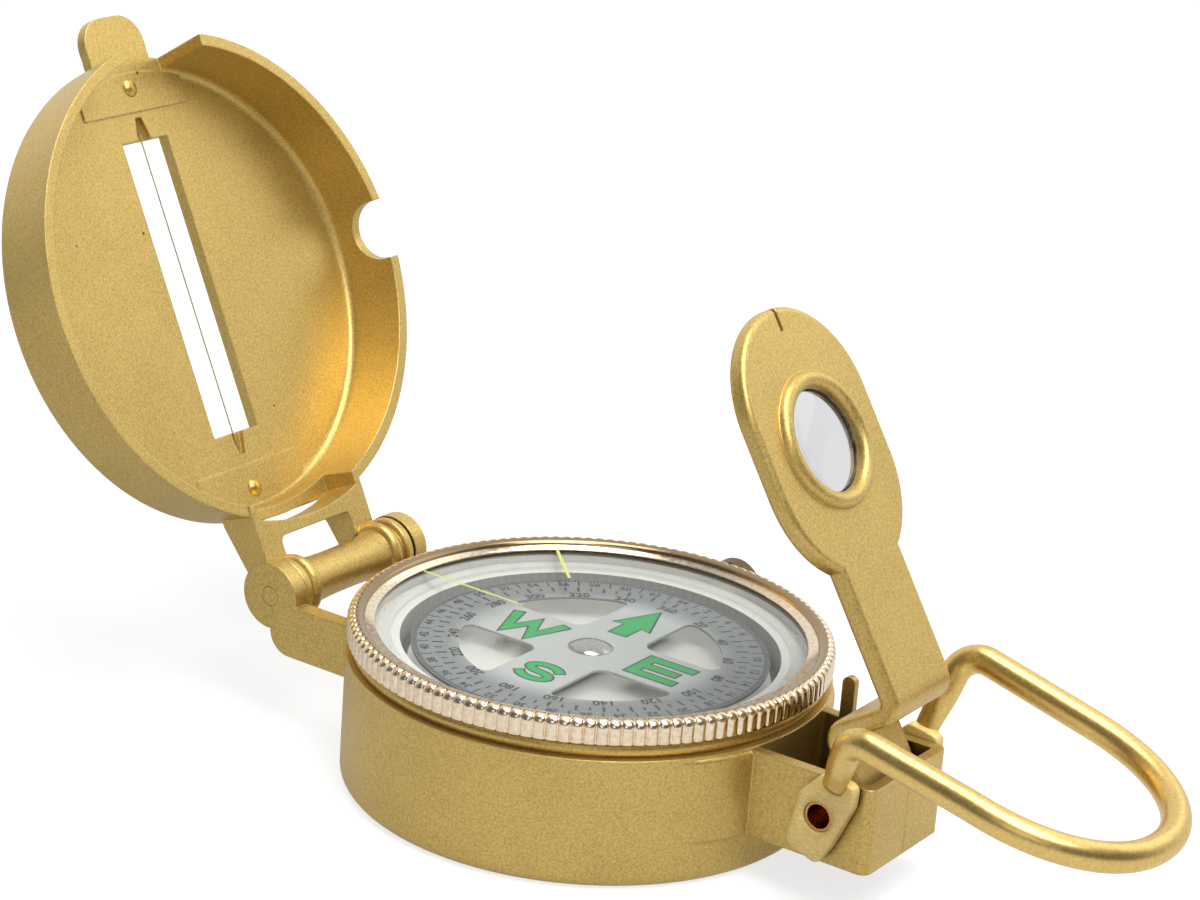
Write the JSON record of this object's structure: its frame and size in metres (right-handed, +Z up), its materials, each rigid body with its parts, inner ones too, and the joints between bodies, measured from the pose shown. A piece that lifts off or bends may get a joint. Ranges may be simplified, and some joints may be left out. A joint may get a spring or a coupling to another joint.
{
  "type": "lensatic compass",
  "caption": "Metal pocket compass with a hinged sighting cover, a folding lens bracket, a liquid capsule with a floating dial card, a turning bezel and a thumb ring.",
  "frame": {"origin": "centre of the case's flat underside", "axes": "+Z up through the dial's middle, +X from the cover hinge towards the lens box and the thumb ring, +Y towards the bezel's lock screw"},
  "size_m": [0.1524, 0.0605, 0.0763],
  "materials": {
    "gold_paint": "satin gold paint with fine sparkle",
    "cushion_rubber": "matt",
    "white_plastic": "frosted white",
    "clear_plastic": "clear moulded",
    "steel": "bright turned",
    "card_plastic": "printed",
    "magnet_steel": "ground",
    "ruby": "polished",
    "rose_gold": "bright champagne anodising",
    "crystal_glass": "polished",
    "dark_brass": "dull",
    "stud_brass": "satin",
    "lens_glass": "polished",
    "ring_brass": "bright brushed"
  },
  "bodies": {
    "case_body": {"case": "gold_paint", "capsule_cushion": "cushion_rubber", "capsule_base": "white_plastic", "capsule_lid": "clear_plastic", "pivot_pin": "steel", "retaining_wire": "steel", "hinge_pin": "dark_brass", "bracket_pin": "dark_brass"},
    "card_body": {"card": "card_plastic", "card_magnet": "magnet_steel", "jewel_cap": "steel", "jewel_bearing": "ruby"},
    "bezel_body": {"bezel_ring": "rose_gold", "crystal": "crystal_glass"},
    "screw_body": {"bezel_lock_screw": "dark_brass"},
    "cover_body": {"cover": "gold_paint", "sighting_wire": "steel", "wire_studs": "stud_brass"},
    "bracket_body": {"lens_bracket": "gold_paint", "lens": "lens_glass", "lens_retainer": "steel"},
    "ring_body": {"thumb_ring": "ring_brass"}
  },
  "joints": [
    {"name": "cover_hinge", "type": "hinge", "parent": "case_body", "child": "cover_body", "pos_m": [-0.0375, 0, 0.0157], "axis": [0, -1, 0], "range_deg": [-116, 60]},
    {"name": "bracket_fold", "type": "hinge", "parent": "case_body", "child": "bracket_body", "pos_m": [0.0371, 0, 0.0111], "axis": [0, -1, 0], "range_deg": [-30, 58]},
    {"name": "ring_swing", "type": "hinge", "parent": "case_body", "child": "ring_body", "pos_m": [0.0371, 0, 0.0111], "axis": [0, -1, 0], "range_deg": [-165, 30]},
    {"name": "card_turn", "type": "hinge", "parent": "case_body", "child": "card_body", "pos_m": [0, 0, 0.016], "axis": [0, 0, 1], "continuous": true},
    {"name": "bezel_turn", "type": "hinge", "parent": "case_body", "child": "bezel_body", "pos_m": [0, 0, 0.018], "axis": [0, 0, 1], "continuous": true},
    {"name": "lock_screw_turn", "type": "hinge", "parent": "case_body", "child": "screw_body", "pos_m": [0.0006, 0.0283, 0.01613], "axis": [0, 1, 0], "range_deg": [0, 180]}
  ],
  "couplings": [
    {"joint": "bracket_fold", "follows": "cover_hinge", "ratio": -0.5}
  ]
}
